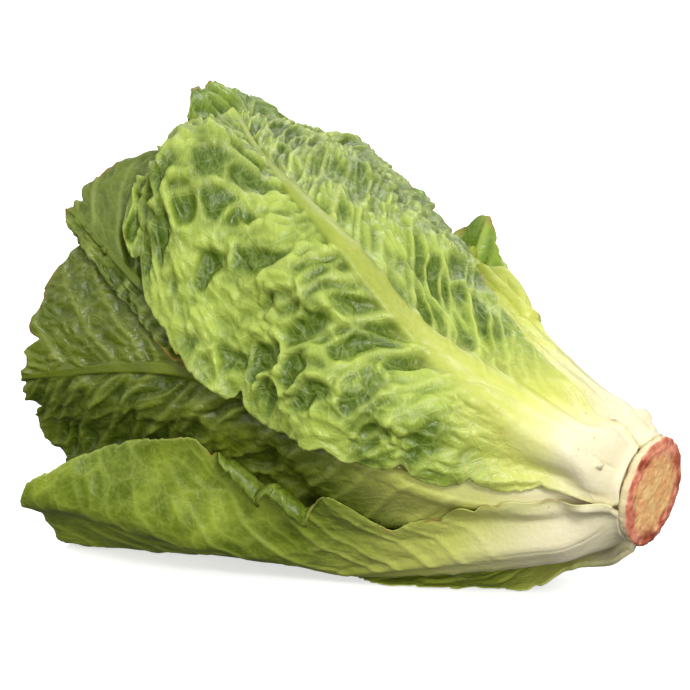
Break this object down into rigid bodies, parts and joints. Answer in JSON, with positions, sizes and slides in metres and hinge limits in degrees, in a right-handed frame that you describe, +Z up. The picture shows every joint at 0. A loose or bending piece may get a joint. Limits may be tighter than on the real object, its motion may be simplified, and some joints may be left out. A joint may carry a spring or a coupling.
{
  "type": "romaine lettuce head",
  "caption": "Cut head of romaine lettuce lying on its side: a tapering stem core with a cut face, and ribbed leaves wrapped in layers round a pale heart.",
  "frame": {"origin": "centre of the bounding box, at the surface the head lies on", "axes": "+Z up, X along the head with the cut of the stem at +X and the leaf tips at -X, -Y towards the side with the low front leaf"},
  "size_m": [0.2348, 0.1912, 0.1708],
  "materials": {
    "stem": "moist cut plant tissue",
    "leaf_01_top_front": "waxy leaf",
    "leaf_02_top_back": "waxy leaf",
    "leaf_03_back": "waxy leaf",
    "leaf_04_front_low": "waxy leaf",
    "leaf_05_under": "waxy leaf",
    "leaf_06_under_back": "waxy leaf",
    "leaf_07_far_back": "waxy leaf",
    "leaf_08_under_front": "waxy leaf",
    "leaf_09_top": "waxy leaf",
    "leaf_10_front": "waxy leaf",
    "leaf_11_front_top": "waxy leaf",
    "leaf_12_heart": "waxy leaf",
    "leaf_13_heart": "waxy leaf",
    "leaf_14_heart": "waxy leaf",
    "leaf_15_heart": "waxy leaf",
    "leaf_16_heart": "waxy leaf",
    "leaf_17_heart": "waxy leaf",
    "leaf_18_heart": "waxy leaf",
    "leaf_19_heart": "waxy leaf",
    "leaf_20_heart": "waxy leaf",
    "leaf_21_heart": "waxy leaf",
    "leaf_22_heart": "waxy leaf",
    "leaf_23_heart": "waxy leaf",
    "leaf_24_heart": "waxy leaf",
    "leaf_25_heart": "waxy leaf"
  },
  "bodies": {
    "root": {"stem": "stem", "leaf_01_top_front": "leaf_01_top_front", "leaf_02_top_back": "leaf_02_top_back", "leaf_03_back": "leaf_03_back", "leaf_04_front_low": "leaf_04_front_low", "leaf_05_under": "leaf_05_under", "leaf_06_under_back": "leaf_06_under_back", "leaf_07_far_back": "leaf_07_far_back", "leaf_08_under_front": "leaf_08_under_front", "leaf_09_top": "leaf_09_top", "leaf_10_front": "leaf_10_front", "leaf_11_front_top": "leaf_11_front_top", "leaf_12_heart": "leaf_12_heart", "leaf_13_heart": "leaf_13_heart", "leaf_14_heart": "leaf_14_heart", "leaf_15_heart": "leaf_15_heart", "leaf_16_heart": "leaf_16_heart", "leaf_17_heart": "leaf_17_heart", "leaf_18_heart": "leaf_18_heart", "leaf_19_heart": "leaf_19_heart", "leaf_20_heart": "leaf_20_heart", "leaf_21_heart": "leaf_21_heart", "leaf_22_heart": "leaf_22_heart", "leaf_23_heart": "leaf_23_heart", "leaf_24_heart": "leaf_24_heart", "leaf_25_heart": "leaf_25_heart"}
  },
  "joints": []
}
